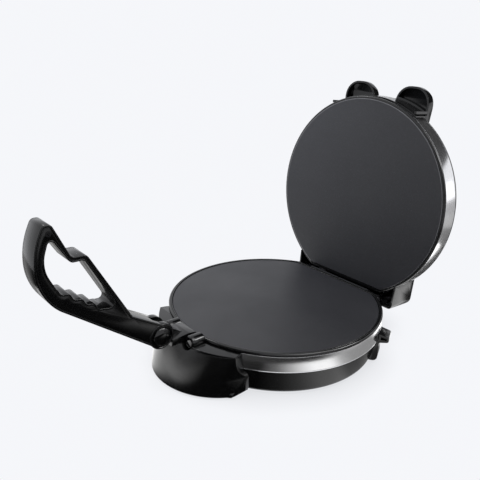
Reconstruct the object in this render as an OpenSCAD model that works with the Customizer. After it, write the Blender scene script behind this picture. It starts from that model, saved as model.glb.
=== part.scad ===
// Electric roti maker with a hinged lid and a swing-over press lever.
// Millimetres. The origin is the centre of the lower cooking face and +Z is up.
// +Y runs from the lever at the front to the hinge at the back. The lid is drawn open.

/* [Cooking plates] */
// Diameter of each cooking plate
plate_d = 305; // [295:1:310]
// Thickness of each cooking plate
plate_t = 5; // [4:0.5:7]
// Gap between the two cooking faces with the lid closed
plate_gap = 1.4; // [1:0.1:3]
// Height of the side skirt under a plate's edge
skirt_h = 4; // [3:0.5:6]

/* [Base body] */
// Width of the base rim round the plate
rim_w = 5.1; // [4:0.1:8]
// Height of the rim above the steel band
rim_h = 4.7; // [4:0.1:6]
// How far the rim stands above the cooking face
rim_proud = 1; // [0.6:0.1:1.2]
// Width of the steel band of the base
band_h = 22.7; // [18:0.1:26]
// Thickness of the steel bands
band_t = 1.6; // [1:0.1:2]
// Depth of the black pan below the band
pan_depth = 36.3; // [30:0.1:44]
// Radius lost by the pan wall from the band to the bottom
pan_taper = 11; // [4:0.5:16]
// Thickness of the moulded walls
wall = 2.8; // [2:0.1:3.4]
// Height of the rubber feet
foot_h = 3; // [2:0.5:5]
// Distance of the rubber feet from the circle of the base rim
foot_inset = 36; // [32:1:58]
// Length of each vent slot in the pan floor
vent_len = 34; // [20:1:44]
// Number of vent slots
vent_count = 10; // [6:1:14]

/* [Front panel] */
// Half width of the front panel
panel_half_w = 79; // [75:1:84]
// How far the panel's flanks stand out beside its front corners
panel_flare = 8.5; // [5:0.5:10]
// How far the panel's foot stands out in front of the base rim
panel_out_bottom = 42.5; // [36:0.5:50]
// How far the panel's top edge stands out in front of the base rim
panel_out_top = 23; // [20:0.5:28]
// Radius of the panel's face at its foot
panel_r_bottom = 93; // [88:1:120]
// Radius of the panel's face at its top edge
panel_r_top = 125; // [105:1:150]

/* [Side lugs] */
// Angle of each side lug behind the widest line of the base
lug_angle = 29; // [20:1:35]
// How far the upper lug stands out from the band
lug_out = 14.5; // [8:0.5:18]
// Width of the lug along the wall
lug_w = 24; // [16:1:30]

/* [Lid] */
// Opening angle of the lid
lid_open = 94; // [80:1:96]
// Width of the lid rim round the upper plate
lid_rim_w = 3.6; // [3:0.1:6]
// Height of the black rim round the upper plate
lid_rim_h = 4.2; // [3:0.1:6]
// Width of the steel band of the lid
lid_band_h = 25; // [20:0.5:30]
// Height of the dome above the steel band
dome_h = 23.5; // [18:0.5:24]
// Half width of the two front ears, each
ear_half_w = 29; // [27:0.5:31]
// Half of the clear gap between the ears
ear_gap_half = 20; // [19.5:0.5:24]
// How far the ears stand out in front of the lid rim
ear_out = 20; // [16:0.5:24]
// Depth of the ears' hoods
ear_depth = 13; // [10:0.5:15]
// Wall of the ears
ear_wall = 3; // [2:0.1:4]
// Corner radius of the ears' outer edge
ear_round = 25; // [16:0.5:26]
// Half width of the hinge housing at the back of the lid
tail_half_w = 100; // [92:1:106]
// How far the hinge housing reaches behind the hinge axis
tail_back = 15.5; // [12:0.5:17]
// How far the hinge housing reaches in front of the hinge axis
tail_front = 35.7; // [30:0.1:40]

/* [Hinge] */
// How far the hinge axis lies inside the circle of the base rim
hinge_inset = 14.3; // [11:0.1:15]
// Depth of the hinge axis below the cooking face
hinge_drop = 11; // [10.5:0.1:13]
// Diameter of the hinge pin
hinge_pin_d = 4.4; // [4:0.1:5]
// Diameter of the rolled knuckles on the pin
knuckle_d = 16; // [12:0.1:16.4]
// Length of each of the two knuckles
knuckle_len = 59.6; // [50:0.1:62]
// Gap between the two knuckles
knuckle_gap = 1.4; // [1:0.1:3]
// Running clearance round the hinge pin
pin_clear = 0.06; // [0.03:0.01:0.1]

/* [Lever] */
// Width of the press lever
lever_w = 31.6; // [28:0.1:32]
// Distance of the lever axis in front of the base rim
lever_out = 50.5; // [48:0.5:54]
// Height of the lever axis above the cooking face
lever_z = 15; // [13:0.5:18]
// Radius of the round boss at the lever's foot
drum_r = 17.4; // [15:0.1:18]
// Distance from the lever's axis to the tip of its grip
lever_reach = 220; // [210:1:230]
// Diameter of the lever pin
lever_pin_d = 8; // [7:0.5:9]
// Width of the tongue that carries the lever
tongue_w = 12; // [9:0.5:13]
// Side clearance between the tongue and the lever's cheeks
tongue_clear = 0.4; // [0.3:0.05:0.8]
// Thickness of the reinforcing strap inside the lever
strap_t = 3; // [2:0.1:4]
// Number of finger hollows in the grip
finger_count = 4; // [3:1:4]
// Distance between the finger hollows
finger_pitch = 17; // [15:0.1:17.6]
// Depth of each finger hollow
finger_depth = 3.3; // [1.5:0.1:3.6]

/* [Heaters and controls] */
// Distance of each heater's ring from the edge of its plate
heater_inset = 54.5; // [42:0.5:72]
// Diameter of the heater tube
heater_tube_d = 7; // [6:0.5:8]
// Distance of each heat shield's edge from the edge of its plate
shield_inset = 16.5; // [12:0.5:32]
// Thickness of the heat shields
shield_t = 0.8; // [0.6:0.1:1.2]
// Depth from a plate's back to its heat shield
shield_drop = 11; // [10:0.5:12]
// Diameter of the thermostat bodies
thermostat_d = 17; // [14:0.5:20]
// Diameter of the signal lamps on the lid
lamp_d = 9; // [6:0.5:12]
// Outer diameter of the cord gland
gland_d = 14; // [11:0.5:16]

/* [Hidden] */
$fn = 96;
seat = 0.1;          // gap between pieces of one body that rest on each other
run_gap = 0.4;       // gap between pieces that move past each other

plate_r = plate_d / 2;
plate_margin = 0.4;
body_r = plate_r + plate_margin + rim_w;
lid_r = plate_r + plate_margin + lid_rim_w;
hinge_y = body_r - hinge_inset;
lever_y = body_r + lever_out;
heater_ring_r = plate_r - heater_inset;
shield_r = plate_r - shield_inset;
foot_circle_r = body_r - foot_inset;
drum_x = lever_w / 2;
hinge_z = -hinge_drop;
lid_face_z = plate_gap + 0.4;
band_top = rim_proud - rim_h;
band_bottom = band_top - band_h;
pan_bottom = band_bottom - pan_depth;
floor_z = pan_bottom - foot_h;
band_r = body_r - 0.6;
pan_r = band_r - band_t - seat;
pan_bottom_r = pan_r - pan_taper + 3;
hinge_relief = 8.7;
base_back = hinge_y - hinge_relief;
lid_back = hinge_y - 5.4;
rim_bar = 5;
screw_d = 4;
screw_circle_r = 62;
bracket_half_w = 26;
bracket_t = 9;
bracket_foot_z = pan_bottom + 12;
bracket_screw_x = 18;
bracket_screw_z = band_bottom - 10;
screw_head_h = 1.9;

lid_band_r = lid_r - 0.6;
lid_band_z0 = lid_face_z + lid_rim_h;
lid_band_z1 = lid_band_z0 + lid_band_h;
cover_r = lid_band_r - band_t - seat;
lid_top = lid_band_z1 + dome_h;
tail_z0 = 1.4;
tail_y0 = hinge_y - tail_front;
tail_y1 = hinge_y + tail_back;
ear_x = ear_gap_half + ear_half_w;
ear_z0 = lid_face_z + 9;
ear_z1 = lid_top - 1.5;
ear_rim_z = ear_z1 - ear_depth;
apron_r = lid_r + 1.4;
apron_z1 = lid_band_z1 + 5;
apron_half_w = ear_gap_half + 2 * ear_half_w + 1;

knuckle_x = knuckle_gap / 2 + knuckle_len;
arm_x = knuckle_x + 2;
arm_len = 16;
pin_half = arm_x + arm_len + 3;
leaf_screw_z = hinge_z - 14;
peg_r = 8.6;
peg_x = drum_x + peg_r + 0.6;
peg_z = -1;
peg_len = 20;

panel_top_z = band_top - 0.3;
panel_bottom_z = pan_bottom;
panel_ledge_z = band_bottom - 10.6;

// Points of a closed outline whose corners [x, y, radius] are rounded with arcs of n steps.
function unit(v) = v / norm(v);
function corner_arc(a, b, c, r, n) =
    let (u = unit([a[0] - b[0], a[1] - b[1]]),
         w = unit([c[0] - b[0], c[1] - b[1]]),
         half = acos(u * w) / 2,
         p = [b[0], b[1]] + u * r / tan(half),
         q = [b[0], b[1]] + w * r / tan(half),
         o = [b[0], b[1]] + unit(u + w) * r / sin(half),
         start = atan2(p[1] - o[1], p[0] - o[0]),
         turn_raw = atan2(q[1] - o[1], q[0] - o[0]) - start,
         turn = turn_raw > 180 ? turn_raw - 360 : turn_raw < -180 ? turn_raw + 360 : turn_raw)
    r <= 0 ? [[b[0], b[1]]]
           : [for (i = [0:n]) o + r * [cos(start + turn * i / n), sin(start + turn * i / n)]];
function rounded(pts, n = 5) =
    let (m = len(pts))
    [for (i = [0:m - 1])
        each corner_arc(pts[(i + m - 1) % m], pts[i], pts[(i + 1) % m], pts[i][2], n)];

// Turns the children by the lid's opening angle about the hinge axis.
module opened() {
    translate([0, hinge_y, hinge_z]) rotate([-lid_open, 0, 0]) translate([0, -hinge_y, -hinge_z])
        children();
}

// Extrudes an outline drawn as [y, z] along X, from x0 to x1.
module along_x(x0, x1) {
    translate([x0, 0, 0]) rotate([90, 0, 90]) linear_extrude(x1 - x0) children();
}

// A rod along X between two stations.
module rod_x(x0, x1, y, z, r) {
    translate([x0, y, z]) rotate([0, 90, 0]) cylinder(r = r, h = x1 - x0);
}

// Keeps what lies in front of a straight back edge.
module in_front_of(y) {
    intersection() {
        children();
        translate([-250, -500, -200]) cube([500, 500 + y, 400]);
    }
}

// Places the children at n even steps round a circle.
module around(n, r, first = 0) {
    for (i = [0:n - 1]) rotate([0, 0, first + i * 360 / n]) translate([r, 0, 0]) children();
}

// Base

module pan_body(grow) {
    bottom_r = pan_bottom_r + grow;
    rotate_extrude()
        polygon(concat([[0, pan_bottom - grow]],
            corner_arc([0, pan_bottom - grow], [bottom_r, pan_bottom - grow],
                [pan_r - 1 + grow, band_bottom], 7, 4),
            [[pan_r - 1 + grow, band_bottom - seat], [pan_r + grow, band_bottom - seat],
             [pan_r + grow, band_top - 2], [0, band_top - 2]]));
}

// A moulded foot block low on the side of the pan, with a hollow three-sided tab above it.
module side_lug(side) color([0.06, 0.06, 0.065]) difference() {
    rotate([0, 0, side > 0 ? lug_angle : 180 - lug_angle])
        translate([0, lug_w / 2, 0]) rotate([90, 0, 0]) difference() {
            linear_extrude(lug_w) union() {
                polygon(rounded([[pan_r - 6, band_bottom - 11, 0], [body_r + 0.6, band_bottom - 9, 2],
                    [body_r + 1, pan_bottom + 1.5, 7], [pan_r - 16, pan_bottom + 1.5, 0]]));
                polygon(rounded([[band_r + 0.3, band_top - 14, 0],
                    [band_r + lug_out, band_top - 18, 3],
                    [band_r + lug_out, band_top - 25, 3],
                    [band_r + 0.9, band_bottom - 5, 2], [band_r, band_bottom - 12, 0],
                    [pan_r - 6, band_bottom - 12, 0], [pan_r - 6, band_bottom - seat, 0],
                    [band_r + 0.3, band_bottom - seat, 0]]));
            }
            translate([0, 0, -1]) linear_extrude(lug_w + 2)
                polygon(rounded([[band_r + 3.4, band_top - 18.4, 0.5],
                    [band_r + lug_out - 2.6, band_top - 20.5, 1],
                    [band_r + lug_out - 2.6, band_top - 22.6, 1],
                    [band_r + 3.4, band_bottom - 0.4, 0.5]]));
        }
    pan_body(seat);
    translate([0, 0, band_bottom - seat]) cylinder(r = band_r + seat, h = band_h);
}
module side_lug_left() side_lug(-1);
module side_lug_right() side_lug(1);

module base_pan() color([0.06, 0.06, 0.065]) {
    difference() {
        in_front_of(base_back) pan_body(0);
        in_front_of(base_back - wall) difference() {
            translate([0, 0, pan_bottom + wall])
                cylinder(r1 = pan_bottom_r - wall - 3, r2 = pan_r - wall, h = pan_depth - wall);
            translate([0, 0, pan_bottom]) around(4, foot_circle_r, 45)
                cylinder(r = 6, h = 12);
        }
        in_front_of(base_back - wall)
            translate([0, 0, band_bottom - 0.01]) cylinder(r = pan_r - wall, h = 60);
        translate([0, 0, pan_bottom - 1]) around(3, screw_circle_r, 30)
            cylinder(d = screw_d + 0.6, h = wall + 2);
        for (side = [-1, 1], x = [12, knuckle_len - 12])
            translate([side * (knuckle_gap / 2 + x), base_back, leaf_screw_z])
                rotate([90, 0, 0]) cylinder(d = screw_d - 0.2, h = 3 * wall, center = true);
        for (i = [0:vent_count - 1])
            translate([(i - (vent_count - 1) / 2) * 9 - 2, -vent_len / 2, pan_bottom - 1])
                cube([4, vent_len, wall + 2]);
        translate([0, base_back, pan_bottom + 14]) rotate([90, 0, 0])
            cylinder(d = gland_d - 4 + 0.2, h = 3 * wall, center = true);
    }
}

module base_band() color([0.78, 0.78, 0.79]) {
    in_front_of(base_back)
        translate([0, 0, band_bottom]) difference() {
            cylinder(r = band_r, h = band_h - seat);
            translate([0, 0, -1]) cylinder(r = band_r - band_t, h = band_h + 2);
        }
}

// A rim ring with a rounded outer edge, flat inside, plus the straight bar along its back edge.
module rim_ring(outer_r, inner_r, z0, z1, back) {
    h = z1 - z0;
    in_front_of(back) union() {
        rotate_extrude()
            polygon(concat([[inner_r, z0], [outer_r, z0]],
                corner_arc([outer_r, z0], [outer_r, z1], [inner_r, z1], h * 0.6, 5),
                [[inner_r, z1]]));
        intersection() {
            translate([-outer_r, back - rim_bar, z0]) cube([2 * outer_r, rim_bar, h]);
            translate([0, 0, z0 - 1]) cylinder(r = outer_r - 1, h = h + 2);
        }
    }
}

module base_rim() color([0.05, 0.05, 0.055]) {
    rim_ring(body_r, plate_r + plate_margin, band_top, rim_proud, base_back);
    in_front_of(base_back)
        translate([0, 0, band_top - 2 + seat]) difference() {
            cylinder(r = pan_r - seat, h = 2);
            translate([0, 0, -1]) cylinder(r = plate_r + plate_margin, h = 4);
        }
}

// A cast plate with a skirt, bosses for its screws and a pocket for the thermostat.
module plate(back) {
    difference() {
        union() {
            in_front_of(back - rim_bar - plate_margin) union() {
                translate([0, 0, -plate_t]) cylinder(r = plate_r, h = plate_t - 0.8);
                translate([0, 0, -0.8]) cylinder(r1 = plate_r, r2 = plate_r - 0.8, h = 0.8);
                translate([0, 0, -plate_t - skirt_h]) difference() {
                    cylinder(r = plate_r - 2, h = skirt_h + 1);
                    translate([0, 0, -1]) cylinder(r = plate_r - 5, h = skirt_h + 2);
                }
            }
            translate([0, 0, -plate_t - 7]) around(3, screw_circle_r, 30)
                cylinder(d = screw_d + 6, h = 8);
        }
        translate([0, 0, -plate_t - 8]) around(3, screw_circle_r, 30)
            cylinder(d = screw_d - 0.6, h = 9);
    }
}

module lower_plate() color([0.17, 0.17, 0.18]) plate(base_back);

// A tubular heater bent to an open ring, with its two cold ends turned down.
module heater() {
    z = -plate_t - heater_tube_d / 2 - seat;
    translate([0, 0, z]) rotate([0, 0, -60]) rotate_extrude(angle = 300)
        translate([heater_ring_r, 0]) circle(d = heater_tube_d);
    for (a = [-60, 240])
        rotate([0, 0, a]) translate([heater_ring_r, 0, z - 9])
            cylinder(d = heater_tube_d, h = 9);
}

module lower_heater() color([0.45, 0.43, 0.4]) heater();

// A shallow sheet dish that hangs on the plate's screw bosses.
module heat_shield() {
    z = -plate_t - shield_drop;
    difference() {
        translate([0, 0, z]) difference() {
            cylinder(r = shield_r, h = 7);
            translate([0, 0, shield_t]) cylinder(r = shield_r - shield_t, h = 8);
        }
        for (a = [-60, 240])
            rotate([0, 0, a]) translate([heater_ring_r, 0, z - 1])
                cylinder(d = heater_tube_d + 3, h = 4);
        translate([0, 0, z - 1]) cylinder(d = thermostat_d + 4, h = 4);
        translate([0, 0, z - 1]) around(3, screw_circle_r, 30) cylinder(d = screw_d + 0.6, h = 4);
        translate([-plate_r, base_back - rim_bar - 12, z - 1]) cube([plate_d, 60, 12]);
    }
    translate([0, 0, z + shield_t]) around(3, screw_circle_r, 30) difference() {
        cylinder(d = screw_d + 5, h = shield_drop - 7 - shield_t - seat);
        translate([0, 0, -1]) cylinder(d = screw_d + 0.6, h = shield_drop);
    }
}

module lower_heat_shield() color([0.7, 0.7, 0.7]) heat_shield();

// A round thermostat pressed to the back of a plate, with two blade terminals.
module thermostat() {
    top = -plate_t - seat;
    translate([0, 0, top - 8]) cylinder(d = thermostat_d, h = 8);
    translate([0, 0, top - 14]) cylinder(d = thermostat_d - 4, h = 7);
    for (x = [-4, 4]) translate([x - 2.4, -0.4, top - 21]) cube([4.8, 0.8, 8]);
}

module lower_thermostat() color([0.75, 0.7, 0.62]) thermostat();

module thermal_fuse() color([0.85, 0.82, 0.75]) {
    z = -plate_t - 2.2 - seat;
    rod_x(-11, 11, 34, z, 2.2);
    for (side = [-1, 1]) rod_x(side > 0 ? 10 : -26, side > 0 ? 26 : -10, 34, z, 0.7);
}

module terminal_block() color([0.8, 0.78, 0.72]) {
    z = pan_bottom + wall + seat;
    difference() {
        translate([-18, base_back - wall - 38, z]) cube([36, 16, 14]);
        for (x = [-11, 0, 11])
            translate([x, base_back - wall - 30, z + 7]) rotate([90, 0, 0])
                cylinder(d = 5, h = 30, center = true);
    }
}

module cord_gland() color([0.08, 0.08, 0.08]) {
    z = pan_bottom + 14;
    difference() {
        union() {
            translate([0, base_back + seat, z]) rotate([-90, 0, 0])
                cylinder(d1 = gland_d, d2 = gland_d - 3, h = 16);
            translate([0, base_back - wall - 5, z]) rotate([-90, 0, 0])
                cylinder(d = gland_d - 4, h = wall + 6);
            translate([0, base_back - wall - 5 - seat, z]) rotate([-90, 0, 0])
                cylinder(d = gland_d, h = 5);
        }
        translate([0, base_back - 30, z]) rotate([-90, 0, 0]) cylinder(d = gland_d / 2, h = 60);
    }
}

module rubber_feet() color([0.12, 0.12, 0.12])
    translate([0, 0, floor_z]) around(4, foot_circle_r, 45)
        cylinder(r1 = 9, r2 = 10, h = foot_h - seat);

// Long screws from under the pan floor into the plate's bosses.
module base_screws() color([0.6, 0.6, 0.6])
    around(3, screw_circle_r, 30) {
        translate([0, 0, pan_bottom - seat - screw_head_h])
            cylinder(d1 = screw_d + 2, d2 = screw_d + 4, h = screw_head_h);
        translate([0, 0, pan_bottom - 1])
            cylinder(d = screw_d - 0.8, h = -plate_t - 4 - pan_bottom + 1);
    }

// A flat slice of the front panel's outline: an arc that meets two straight ends.
module panel_slice(z, out, r, half_w) {
    translate([0, 0, z]) linear_extrude(0.5)
        intersection() {
            translate([0, -body_r - out + r]) circle(r = r, $fn = 64);
            translate([-half_w, -body_r - 60]) square([2 * half_w, 110]);
        }
}

// The hollow behind the panel's face.
module panel_hollow() {
    hull() {
        panel_slice(panel_bottom_z - 1, panel_out_bottom - wall, panel_r_bottom - wall,
            panel_half_w - wall);
        panel_slice(panel_top_z - wall - 0.5, panel_out_top - wall, panel_r_top - wall,
            panel_half_w - wall);
    }
}

// The rear edge of each flank at a height: [z, distance beside the front corner, distance behind
// the rim's front]. It runs back to the pan in an S at the ledge below the steel band.
up = panel_top_z - panel_ledge_z;
low = panel_ledge_z - panel_bottom_z;
panel_edge = [[panel_bottom_z, panel_flare - 3.5, 6.6],
    [panel_ledge_z - 0.84 * low, panel_flare - 2.2, 7.2],
    [panel_ledge_z - 0.71 * low, panel_flare - 1.6, 11.2],
    [panel_ledge_z - 0.53 * low, panel_flare - 1, 14.3],
    [panel_ledge_z - 0.32 * low, panel_flare - 0.5, 19],
    [panel_ledge_z - 0.15 * low, panel_flare - 0.2, 23.4],
    [panel_ledge_z, panel_flare, 27],
    [panel_ledge_z + 0.22 * up, panel_flare, 18.8],
    [panel_ledge_z + 0.44 * up, panel_flare, 13.7],
    [panel_ledge_z + 0.7 * up, panel_flare - 0.5, 11],
    [panel_top_z, panel_flare - 1.5, 10.6]];

// The panel's outline at one of those heights, from its left rear corner round the front.
function panel_level(e) =
    let (k = (e[0] - panel_bottom_z) / (panel_top_z - panel_bottom_z),
         r = panel_r_bottom + (panel_r_top - panel_r_bottom) * k,
         out = panel_out_bottom + (panel_out_top - panel_out_bottom) * k,
         arc = asin((panel_half_w + 1 - k) / r),
         side = panel_half_w + e[1],
         y = -body_r + e[2],
         open = e[0] > panel_ledge_z + 0.1,
         rear = open ? [[side, y], [side - 2.5, y + 9], [side - 14, y + 30]]
                     : [[side, y], [side, y + 9], [side - 2, y + 46]])
    [for (p = concat(
        [for (i = [2:-1:0]) [-rear[i][0], rear[i][1]]],
        [for (i = [-12:12]) [r * sin(arc * i / 12), -body_r - out + r - r * cos(arc * i / 12)]],
        rear)) [p[0], p[1], e[0]]];

// A closed body through a list of outlines with equally many points, from the lowest up.
module through_levels(levels) {
    n = len(levels[0]);
    m = len(levels);
    walls = [for (i = [0:m - 2], j = [0:n - 1])
        let (a = i * n + j, b = i * n + (j + 1) % n)
        each [[a, a + n, b + n], [a, b + n, b]]];
    polyhedron(points = [for (level = levels) each level],
        faces = concat([[for (j = [0:n - 1]) j]], walls,
            [[for (j = [n - 1:-1:0]) (m - 1) * n + j]]));
}

module front_panel() color([0.07, 0.07, 0.075]) {
    difference() {
        through_levels([for (e = panel_edge) panel_level(e)]);
        panel_hollow();
        pan_body(0.3);
        translate([0, 0, band_bottom - 0.5]) cylinder(r = band_r + 0.3, h = 60);
        translate([-tongue_w / 2 - 0.6, -body_r - panel_out_top + wall + 0.5, panel_top_z - wall - 1])
            cube([tongue_w + 1.2, panel_out_top - wall, wall + 2]);
        for (side = [-1, 1])
            translate([side * peg_x, -body_r + 10, peg_z]) rotate([90, 0, 0])
                cylinder(r = peg_r + run_gap, h = peg_len + 40);
    }
}

// The moulded bracket that carries the lever: a foot behind the panel, a shelf up to the rim
// and a tongue between the lever's cheeks.
module lever_bracket() color([0.05, 0.05, 0.05]) {
    shelf_top = 6.5;
    tongue = [[-lever_y - 3, lever_z - 10, 4], [-lever_y + 6, lever_z + 10.5, 6],
              [-body_r - 16, shelf_top, 3], [-band_r - 2, shelf_top - 2, 0],
              [-band_r - 2, bracket_foot_z, 0], [-band_r - 2 * bracket_t, bracket_foot_z, 4],
              [-band_r - 18, panel_top_z - 8, 6],
              [-body_r - panel_out_top + wall + 1.5, panel_top_z + 0.6, 3]];
    shelf = [[-body_r + 4, panel_top_z + seat, 0], [-body_r + 4, shelf_top - 2, 0],
             [-body_r - 10, shelf_top, 6], [-lever_y + drum_r - 2, shelf_top - 2, 0],
             [-lever_y + drum_r - 4, panel_top_z + seat, 0]];
    difference() {
        union() {
            along_x(-tongue_w / 2, tongue_w / 2) union() {
                polygon(rounded(tongue));
                translate([-lever_y, lever_z]) circle(r = 10.5);
            }
            difference() {
                along_x(-drum_x, drum_x) polygon(rounded(shelf));
                rod_x(-drum_x - 1, -tongue_w / 2, -lever_y, lever_z, drum_r + run_gap);
                rod_x(tongue_w / 2, drum_x + 1, -lever_y, lever_z, drum_r + run_gap);
            }
            along_x(-bracket_half_w, bracket_half_w)
                polygon([[-band_r - bracket_t, band_bottom], [-pan_bottom_r, band_bottom],
                    [-pan_bottom_r, bracket_foot_z], [-band_r - bracket_t, bracket_foot_z]]);
        }
        pan_body(seat);
        translate([0, 0, band_bottom - seat]) cylinder(r = band_r + seat, h = band_h + seat);
        translate([0, 0, band_top - seat]) cylinder(r = body_r + seat, h = 60);
        rod_x(-20, 20, -lever_y, lever_z, lever_pin_d / 2 + pin_clear);
        for (x = [-bracket_screw_x, bracket_screw_x])
            translate([x, -body_r, bracket_screw_z]) rotate([90, 0, 0])
                cylinder(d = screw_d + 0.6, h = 60, center = true);
    }
}

module bracket_screws() color([0.6, 0.6, 0.6])
    for (x = [-bracket_screw_x, bracket_screw_x])
        translate([x, -band_r - bracket_t - seat, bracket_screw_z]) rotate([90, 0, 0]) {
            cylinder(d = screw_d + 4, h = 2.4);
            translate([0, 0, -12]) cylinder(d = screw_d - 0.2, h = 13);
        }

// A round peg that sits under one of the lid's ears.
module lid_peg(side) color([0.05, 0.05, 0.05])
    difference() {
        union() {
            translate([side * peg_x, -band_r + 4, peg_z]) rotate([90, 0, 0])
                cylinder(r = peg_r, h = peg_len);
            translate([side * peg_x, -band_r + 4 - peg_len, peg_z]) rotate([90, 0, 0])
                cylinder(r1 = peg_r, r2 = peg_r - 2, h = 2);
        }
        translate([0, 0, -30]) cylinder(r = body_r + seat, h = 60);
    }
module lid_peg_left() lid_peg(-1);
module lid_peg_right() lid_peg(1);

// A steel leaf on the pan's back wall with a rolled knuckle round the hinge pin.
module hinge_leaf(side) color([0.5, 0.5, 0.52]) {
    x0 = side > 0 ? knuckle_gap / 2 : -knuckle_x;
    difference() {
        union() {
            translate([x0, base_back + seat, hinge_z - 20]) cube([knuckle_len, 2, 24]);
            translate([x0, base_back + 1, hinge_z - 2.2]) cube([knuckle_len, hinge_relief - 2, 4.4]);
            rod_x(x0, x0 + knuckle_len, hinge_y, hinge_z, knuckle_d / 2);
        }
        rod_x(x0 - 1, x0 + knuckle_len + 1, hinge_y, hinge_z, hinge_pin_d / 2 + pin_clear);
        for (x = [12, knuckle_len - 12])
            translate([x0 + x, base_back, leaf_screw_z]) rotate([90, 0, 0])
                cylinder(d = screw_d + 0.4, h = 10, center = true);
    }
}
module hinge_leaf_left() hinge_leaf(-1);
module hinge_leaf_right() hinge_leaf(1);

module leaf_screws() color([0.6, 0.6, 0.6])
    for (side = [-1, 1], x = [12, knuckle_len - 12])
        translate([side * (knuckle_gap / 2 + x), base_back + 2 + 2 * seat, leaf_screw_z])
            rotate([-90, 0, 0]) {
                cylinder(d1 = screw_d + 3, d2 = screw_d + 1, h = 1.6);
                translate([0, 0, -9]) cylinder(d = screw_d - 0.4, h = 10);
            }

// Lever, drawn in its parked place

lever_hinge = [-lever_y, lever_z];

// Outline corners of the lever as [y, z, radius], measured from the lever's axis. They are drawn
// for a reach of 220 and sized to the reach that is set.
lever_k = lever_reach / 220;
function sized(pts) = [for (p = pts) p * lever_k];
lever_outer = sized([[-127.5, 172.5, 6], [-137, 172.5, 6], [-149.2, 147, 90], [-149.5, 103, 68],
               [-130, 77, 60], [-6, -15.5, 2], [4, 14.5, 2], [-39.5, 40.5, 3], [-91.5, 131.5, 8],
               [-108.5, 132.2, 7]]);
// The grip opening: its upper corners, the finger hollows along its lower edge, its front corner.
grip_start = [-127.9, 100.9] * lever_k;
grip_dir = unit([0.816, -0.578]);
grip_down = [grip_dir[1], -grip_dir[0]];
finger_steps = 10;
finger_wave = [for (i = [0:finger_steps * finger_count])
    grip_start + grip_dir * finger_pitch * i / finger_steps
        + grip_down * finger_depth * (1 - cos(360 * i / finger_steps)) / 2];
lever_hole = concat(sized([[-110, 125.8, 7], [-130.5, 159, 4], [-141, 128, 40]]),
    [for (p = finger_wave) [p[0], p[1], 0]], sized([[-59, 60.5, 5], [-95, 125.8, 6]]));

module lever_profile() {
    translate(lever_hinge) difference() {
        union() {
            polygon(rounded(lever_outer, 6));
            circle(r = drum_r);
        }
        polygon(rounded(lever_hole, 6));
    }
}

module lever_shell(side) color([0.05, 0.05, 0.055]) {
    x0 = side > 0 ? seat / 2 : -drum_x;
    difference() {
        along_x(x0, x0 + drum_x - seat / 2) lever_profile();
        rod_x(-tongue_w / 2 - tongue_clear, tongue_w / 2 + tongue_clear, -lever_y, lever_z,
            drum_r + 6);
        rod_x(-20, 20, -lever_y, lever_z, lever_pin_d / 2 + pin_clear);
        lever_strap_space(seat);
        for (i = [0:2])
            on_lever_side(i) rod_x(drum_x - 2.4, drum_x + 1, 0, 0, screw_d / 2 + 1.4);
    }
}
module lever_shell_left() lever_shell(-1);
module lever_shell_right() lever_shell(1);

// The screw in the grip's tip goes in from +X, the two others from -X.
lever_screw_places = sized([[-131.1, 162.7], [-58, 37], [-117, 79.4]]);
module on_lever_side(i) {
    translate([0, lever_screw_places[i][0] - lever_y, lever_screw_places[i][1] + lever_z])
        mirror([i == 0 ? 0 : 1, 0, 0]) children();
}

lever_strap_outline = sized([[-46, 25, 2], [-42, 33, 2], [-64, 50, 4], [-104, 77, 3],
    [-112, 72, 3]]);
module lever_strap_space(grow) {
    along_x(-strap_t / 2 - grow, strap_t / 2 + grow)
        translate(lever_hinge)
            polygon([for (p = rounded(lever_strap_outline))
                p + grow * unit(p - [-74, 51.5] * lever_k)]);
}

module lever_strap() color([0.6, 0.6, 0.6]) lever_strap_space(0);

module lever_screws() color([0.2, 0.2, 0.2])
    for (i = [0:2])
        on_lever_side(i) difference() {
            rod_x(drum_x - 2.3, drum_x - 0.4, 0, 0, screw_d / 2 + 1.2);
            translate([drum_x - 1, -0.5, -2]) cube([2, 1, 4]);
            translate([drum_x - 1, -2, -0.5]) cube([2, 4, 1]);
        }

module lever_pin() color([0.7, 0.7, 0.7])
    rod_x(-drum_x + 0.5, drum_x - 0.5, -lever_y, lever_z, lever_pin_d / 2);

// A domed cap over one end of the lever pin.
module lever_cap(side) color([0.06, 0.06, 0.06])
    translate([side * (drum_x + seat), -lever_y, lever_z]) rotate([0, side * 90, 0])
        rotate_extrude()
            polygon(concat([[0, 0], [drum_r - 3.4, 0]],
                [for (i = [0:6]) [(drum_r - 3.4) * cos(15 * i), 1 + 2.8 * sin(15 * i)]]));
module lever_cap_left() lever_cap(-1);
module lever_cap_right() lever_cap(1);

// Lid, drawn closed and then opened

module lid_rim() color([0.05, 0.05, 0.055]) opened()
    translate([0, 0, 2 * lid_face_z + lid_rim_h]) mirror([0, 0, 1])
        rim_ring(lid_r, plate_r + plate_margin, lid_face_z + seat, lid_face_z + lid_rim_h, lid_back);

module lid_band() color([0.78, 0.78, 0.79]) opened()
    difference() {
        translate([0, 0, lid_band_z0 + seat]) cylinder(r = lid_band_r, h = lid_band_h - 2 * seat);
        translate([0, 0, lid_band_z0 - 1]) cylinder(r = lid_band_r - band_t, h = lid_band_h + 2);
        translate([-tail_half_w - 0.4, 0, 0]) cube([2 * tail_half_w + 0.8, lid_r + 10, 80]);
    }

module upper_plate() color([0.17, 0.17, 0.18]) opened()
    translate([0, 0, plate_gap]) mirror([0, 0, 1]) plate(lid_back);

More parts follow.
